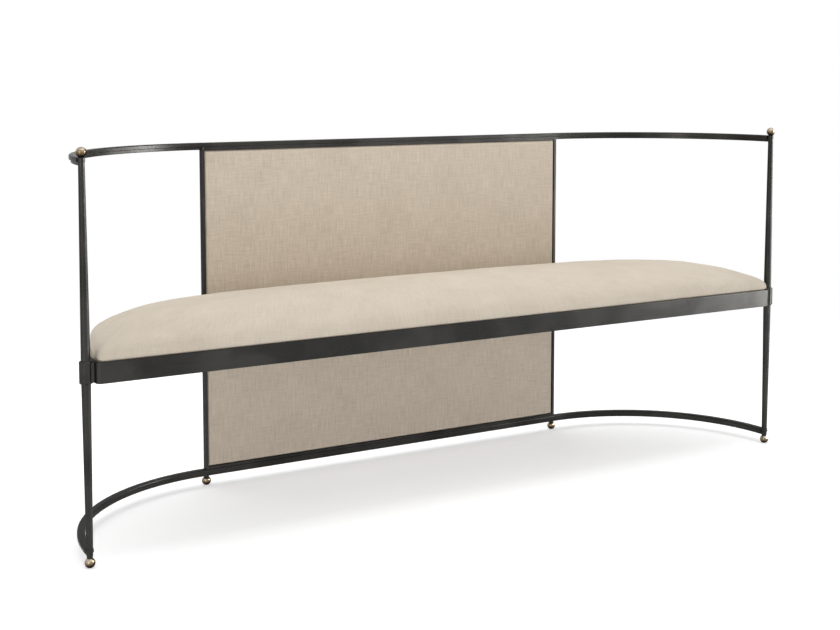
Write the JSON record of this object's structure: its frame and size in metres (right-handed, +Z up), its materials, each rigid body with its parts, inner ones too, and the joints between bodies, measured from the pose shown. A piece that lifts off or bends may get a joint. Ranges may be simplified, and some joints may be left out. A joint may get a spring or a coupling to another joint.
{
  "type": "upholstered bench",
  "caption": "Settee-like bench with a curved dark metal frame, tapered posts, a crowned linen seat, an upholstered back panel and brass ball feet and finials.",
  "frame": {"origin": "on the floor, in the middle of the footprint", "axes": "+Z up, +X along the bench to the sitter's left, +Y from the open front towards the back panel"},
  "size_m": [1.8494, 0.4378, 0.838],
  "materials": {
    "frame_metal": "dark gunmetal patina, satin, soft brushed sheen",
    "antique_brass": "aged, satin, darker low down",
    "seat_linen": "light warm linen weave with soft slubs",
    "panel_linen": "taupe linen weave with upright slubs",
    "foam": "open-cell foam, hidden",
    "plywood": "birch plywood, hidden",
    "dust_cloth": "black spun cloth",
    "fastener_steel": "blackened steel"
  },
  "bodies": {
    "root": {"bottom_rail": "frame_metal", "centre_bearer": "frame_metal", "collar_screws": "fastener_steel", "dust_cover": "dust_cloth", "end_tabs": "frame_metal", "finial_studs": "fastener_steel", "front_foot_studs": "fastener_steel", "left_bearer": "frame_metal", "left_finial": "antique_brass", "left_foot_collar": "frame_metal", "left_front_foot": "antique_brass", "left_leg": "frame_metal", "left_rear_foot": "antique_brass", "left_rear_socket": "frame_metal", "left_seat_collar": "frame_metal", "left_stile": "frame_metal", "left_top_collar": "frame_metal", "left_upper_post": "frame_metal", "panel_board": "plywood", "panel_bottom_strip": "frame_metal", "panel_dowels": "fastener_steel", "panel_front_cover": "panel_linen", "panel_front_pad": "foam", "panel_rear_cover": "panel_linen", "panel_rear_pad": "foam", "panel_screws": "fastener_steel", "panel_top_channel": "frame_metal", "post_joint_studs": "fastener_steel", "rear_foot_studs": "fastener_steel", "rear_spacers": "frame_metal", "right_bearer": "frame_metal", "right_finial": "antique_brass", "right_foot_collar": "frame_metal", "right_front_foot": "antique_brass", "right_leg": "frame_metal", "right_rear_foot": "antique_brass", "right_rear_socket": "frame_metal", "right_seat_collar": "frame_metal", "right_stile": "frame_metal", "right_top_collar": "frame_metal", "right_upper_post": "frame_metal", "seat_board": "plywood", "seat_cover": "seat_linen", "seat_foam": "foam", "seat_front_rail": "frame_metal", "seat_rear_hoop": "frame_metal", "seat_screws": "fastener_steel", "spacer_screws": "fastener_steel", "stile_pins": "fastener_steel", "top_rail": "frame_metal"}
  },
  "joints": []
}
